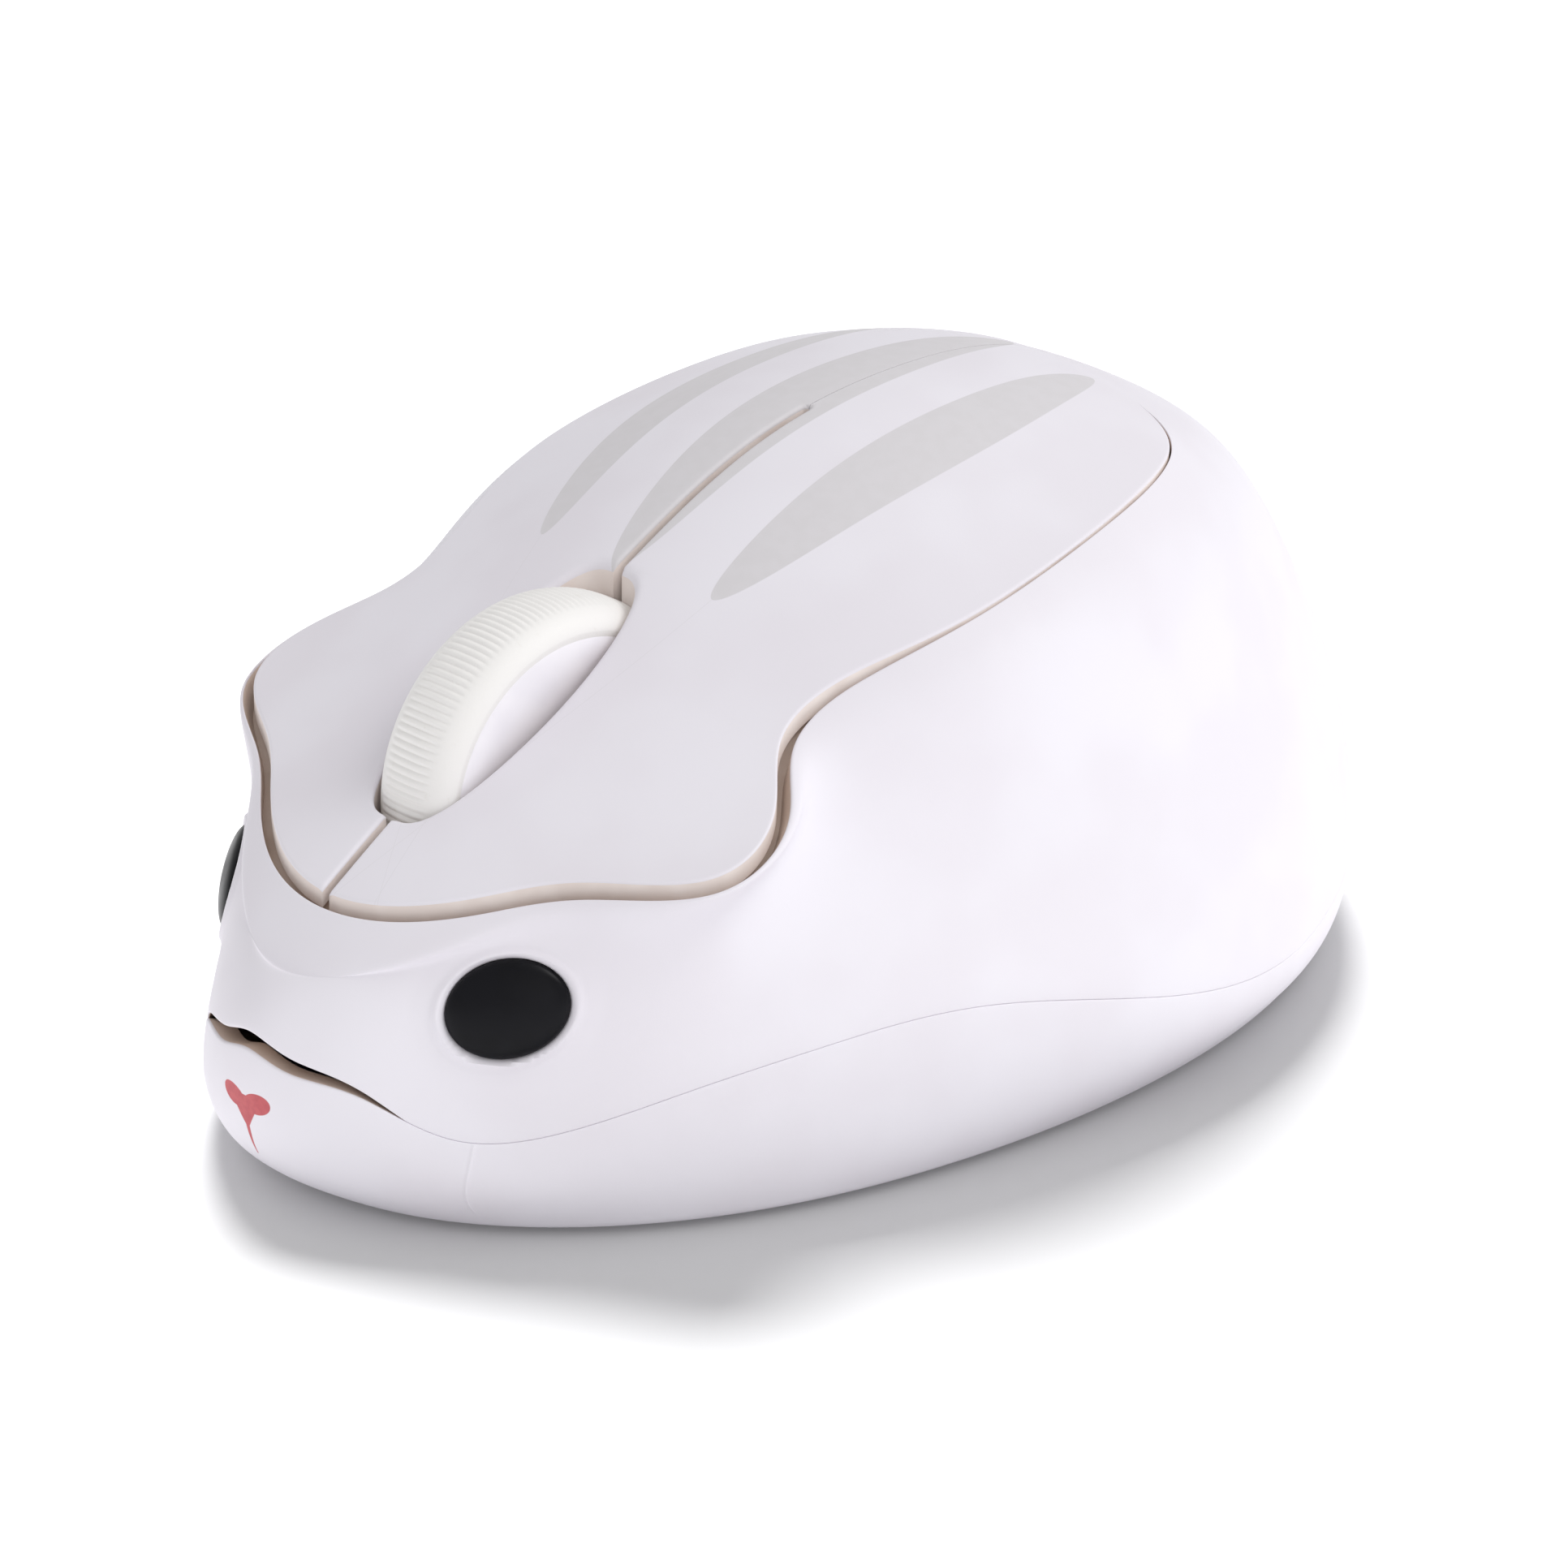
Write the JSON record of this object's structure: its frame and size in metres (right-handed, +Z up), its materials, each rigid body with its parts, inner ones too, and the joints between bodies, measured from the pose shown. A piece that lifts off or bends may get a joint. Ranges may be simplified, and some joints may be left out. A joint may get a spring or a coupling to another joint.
{
  "type": "wireless computer mouse",
  "caption": "Wireless optical mouse shaped like a hamster, with click keys, a scroll wheel, a battery door, a power switch and a receiver stored underneath.",
  "frame": {"origin": "centre of the footprint on the desk, at the underside of the feet", "axes": "+Z up from the desk, -Y towards the nose and click keys, +X towards the user's left key (the animal's left)"},
  "size_m": [0.0652, 0.1013, 0.0461],
  "materials": {
    "shell_white": "fine matte, injection moulded",
    "cover_white": "fine matte, grey printed stripes",
    "eye_black": "satin black",
    "tyre_rubber": "off-white rubber, fine ribs",
    "hub_white": "glossy",
    "board_green": "solder mask",
    "black_plastic": "moulded",
    "grey_plastic": "moulded",
    "clear_lens": "polished acrylic",
    "led_red": "clear red epoxy",
    "nickel": "nickel plated",
    "cell_wrap": "printed sleeve, plain",
    "foot_grey": "slippery pad",
    "screw_steel": "zinc plated",
    "inner_white": "moulded"
  },
  "bodies": {
    "shell": {"base_shell": "shell_white", "upper_shell": "shell_white", "palm_cover": "cover_white", "left_eye": "eye_black", "right_eye": "eye_black", "main_board": "board_green", "left_switch_body": "grey_plastic", "right_switch_body": "grey_plastic", "middle_switch_body": "grey_plastic", "encoder_body": "grey_plastic", "optical_sensor": "black_plastic", "sensor_lens": "clear_lens", "sensor_led": "led_red", "led_clip": "black_plastic", "control_chip": "black_plastic", "crystal": "nickel", "capacitors": "black_plastic", "left_cell": "cell_wrap", "right_cell": "cell_wrap", "cell_springs": "nickel", "cell_contacts": "nickel", "power_switch_body": "grey_plastic", "feet": "foot_grey", "base_screws": "screw_steel", "board_screws": "screw_steel"},
    "left_key": {"left_button": "cover_white"},
    "right_key": {"right_button": "cover_white"},
    "left_stem": {"left_switch_plunger": "black_plastic"},
    "right_stem": {"right_switch_plunger": "black_plastic"},
    "axle_lever": {"axle_cradle": "inner_white"},
    "middle_stem": {"middle_switch_plunger": "black_plastic"},
    "wheel": {"wheel_hub": "hub_white", "wheel_tyre": "tyre_rubber", "encoder_rotor": "inner_white"},
    "door": {"battery_door": "shell_white"},
    "power_slider": {"power_switch_knob": "black_plastic"},
    "receiver": {"receiver_cap": "black_plastic", "receiver_plug": "nickel", "receiver_tongue": "black_plastic"}
  },
  "joints": [
    {"name": "left_click", "type": "hinge", "parent": "shell", "child": "left_key", "pos_m": [0, 0.001, 0.0405], "axis": [1, 0, 0], "range_deg": [0, 0.8], "stiffness_Nm_per_rad": 1.3},
    {"name": "left_switch", "type": "slide", "parent": "shell", "child": "left_stem", "axis": [0, 0, -1], "range_m": [0, 0.0006]},
    {"name": "right_click", "type": "hinge", "parent": "shell", "child": "right_key", "pos_m": [0, 0.001, 0.0405], "axis": [1, 0, 0], "range_deg": [0, 0.8], "stiffness_Nm_per_rad": 1.3},
    {"name": "right_switch", "type": "slide", "parent": "shell", "child": "right_stem", "axis": [0, 0, -1], "range_m": [0, 0.0006]},
    {"name": "wheel_press", "type": "hinge", "parent": "shell", "child": "axle_lever", "pos_m": [0.0085, -0.024, 0.0245], "axis": [0, -1, 0], "range_deg": [0, 1.2], "stiffness_Nm_per_rad": 2},
    {"name": "middle_switch", "type": "slide", "parent": "shell", "child": "middle_stem", "axis": [0, 0, -1], "range_m": [0, 0.0005]},
    {"name": "wheel_spin", "type": "hinge", "parent": "axle_lever", "child": "wheel", "pos_m": [0, -0.024, 0.0245], "axis": [1, 0, 0], "continuous": true},
    {"name": "door_open", "type": "hinge", "parent": "shell", "child": "door", "pos_m": [0, 0.0434, 0.0005], "axis": [1, 0, 0], "range_deg": [0, 75]},
    {"name": "power_slide", "type": "slide", "parent": "shell", "child": "power_slider", "axis": [0, 1, 0], "range_m": [0, 0.002]},
    {"name": "receiver_pull", "type": "slide", "parent": "shell", "child": "receiver", "axis": [0, 0, -1], "range_m": [0, 0.022]}
  ],
  "couplings": [
    {"joint": "left_switch", "follows": "left_click", "m_per_rad": 0.0348},
    {"joint": "right_switch", "follows": "right_click", "m_per_rad": 0.0348},
    {"joint": "middle_switch", "follows": "wheel_press", "m_per_rad": 0.0185}
  ]
}
